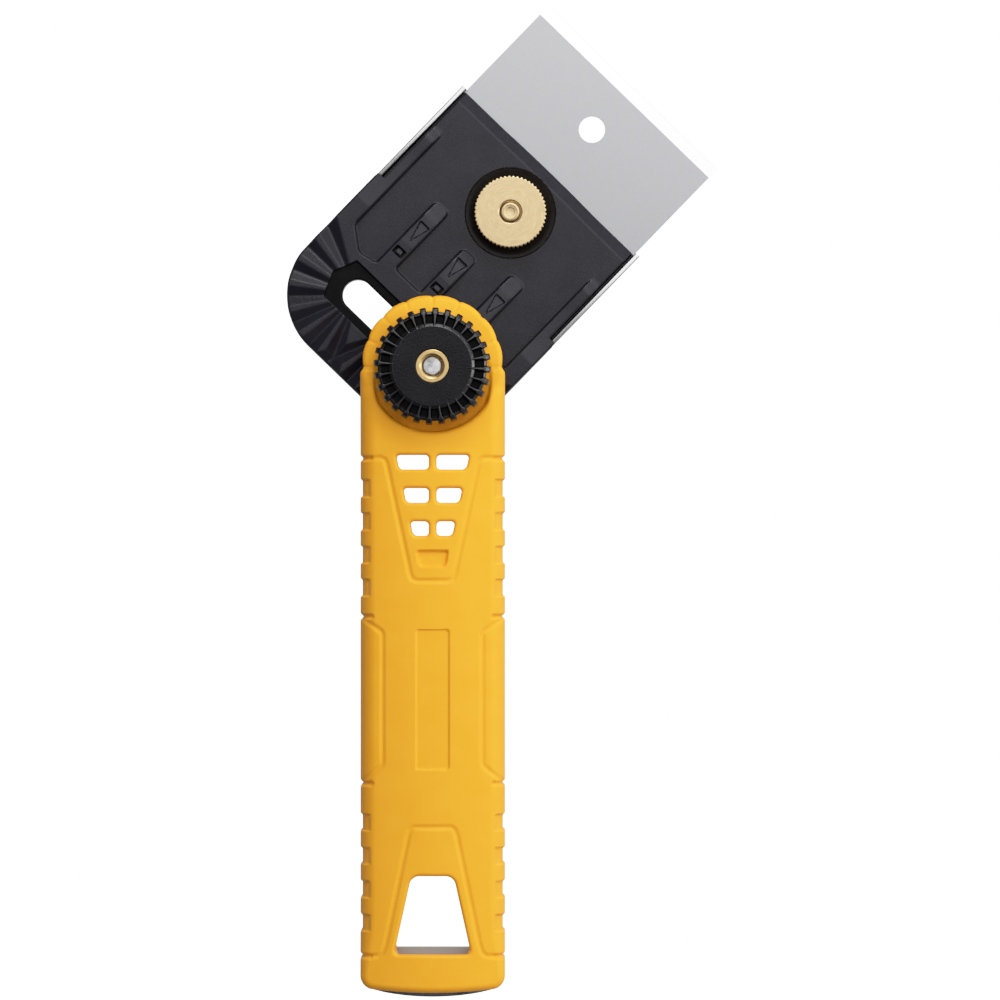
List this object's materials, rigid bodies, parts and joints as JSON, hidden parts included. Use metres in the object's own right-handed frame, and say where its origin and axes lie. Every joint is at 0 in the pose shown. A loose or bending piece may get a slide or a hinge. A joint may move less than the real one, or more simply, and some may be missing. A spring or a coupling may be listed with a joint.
{
  "type": "multi-purpose scraper",
  "caption": "Hand scraper: a flat steel blade under a thumb nut in a black head that swivels and shifts along a cross slot, clamped by a knob to a yellow grip with a steel striking butt.",
  "frame": {"origin": "middle of the flat rear face of the grip, on the handle's centre line; the scraper lies on its back on that plane", "axes": "+Z out of the front, where the knob is; +Y along the handle from the butt towards the pivot; +X to the right seen from the front"},
  "size_m": [0.1098, 0.2517, 0.0267],
  "materials": {
    "yellow_shell": "fine satin grain",
    "black_nylon": "fine spark-eroded grain",
    "blade_steel": "ground, with a bright ground edge",
    "sheet_steel": "plain folded sheet",
    "butt_steel": "dull, sawn",
    "spring_steel": "drawn wire",
    "zinc_hardware": "zinc plated",
    "brass": "turned and knurled"
  },
  "bodies": {
    "handle": {"handle_front_shell": "yellow_shell", "handle_rear_shell": "yellow_shell", "index_plate": "zinc_hardware", "index_screws": "zinc_hardware", "pivot_bush": "zinc_hardware", "lift_spring": "spring_steel", "strike_butt": "butt_steel", "butt_pins": "zinc_hardware", "shell_screws": "zinc_hardware"},
    "bolt": {"pivot_bolt": "zinc_hardware", "spring_washer": "zinc_hardware"},
    "head": {"head_body": "black_nylon", "rear_cover": "black_nylon"},
    "clamp": {"clamp_plate": "sheet_steel", "clamp_stud": "brass", "blade": "blade_steel"},
    "thumb_nut": {"thumb_nut": "brass"},
    "knob_seat": {"knob_washer": "zinc_hardware"},
    "knob": {"knob": "black_nylon", "knob_insert": "brass"}
  },
  "joints": [
    {"name": "head_swivel", "type": "hinge", "parent": "handle", "child": "bolt", "pos_m": [0, 0.102, 0.008], "axis": [0, 0, 1], "range_deg": [-45.9, 134.1]},
    {"name": "slot_slide", "type": "slide", "parent": "bolt", "child": "head", "axis": [0.7181, -0.6959, 0], "range_m": [0, 0.0267]},
    {"name": "thumb_nut_spin", "type": "hinge", "parent": "head", "child": "thumb_nut", "pos_m": [0.01964, 0.14145, 0.009], "axis": [0, 0, 1], "range_deg": [0, 720]},
    {"name": "plate_open", "type": "slide", "parent": "head", "child": "clamp", "axis": [0, 0, -1], "range_m": [0, 0.0016]},
    {"name": "knob_travel", "type": "slide", "parent": "bolt", "child": "knob_seat", "axis": [0, 0, 1], "range_m": [0, 0.0016]},
    {"name": "knob_spin", "type": "hinge", "parent": "knob_seat", "child": "knob", "pos_m": [0, 0.102, 0.024], "axis": [0, 0, 1], "range_deg": [0, 720]}
  ],
  "couplings": [
    {"joint": "thumb_nut_spin", "follows": "plate_open", "rad_per_m": 7854},
    {"joint": "knob_spin", "follows": "knob_travel", "rad_per_m": 7854}
  ]
}
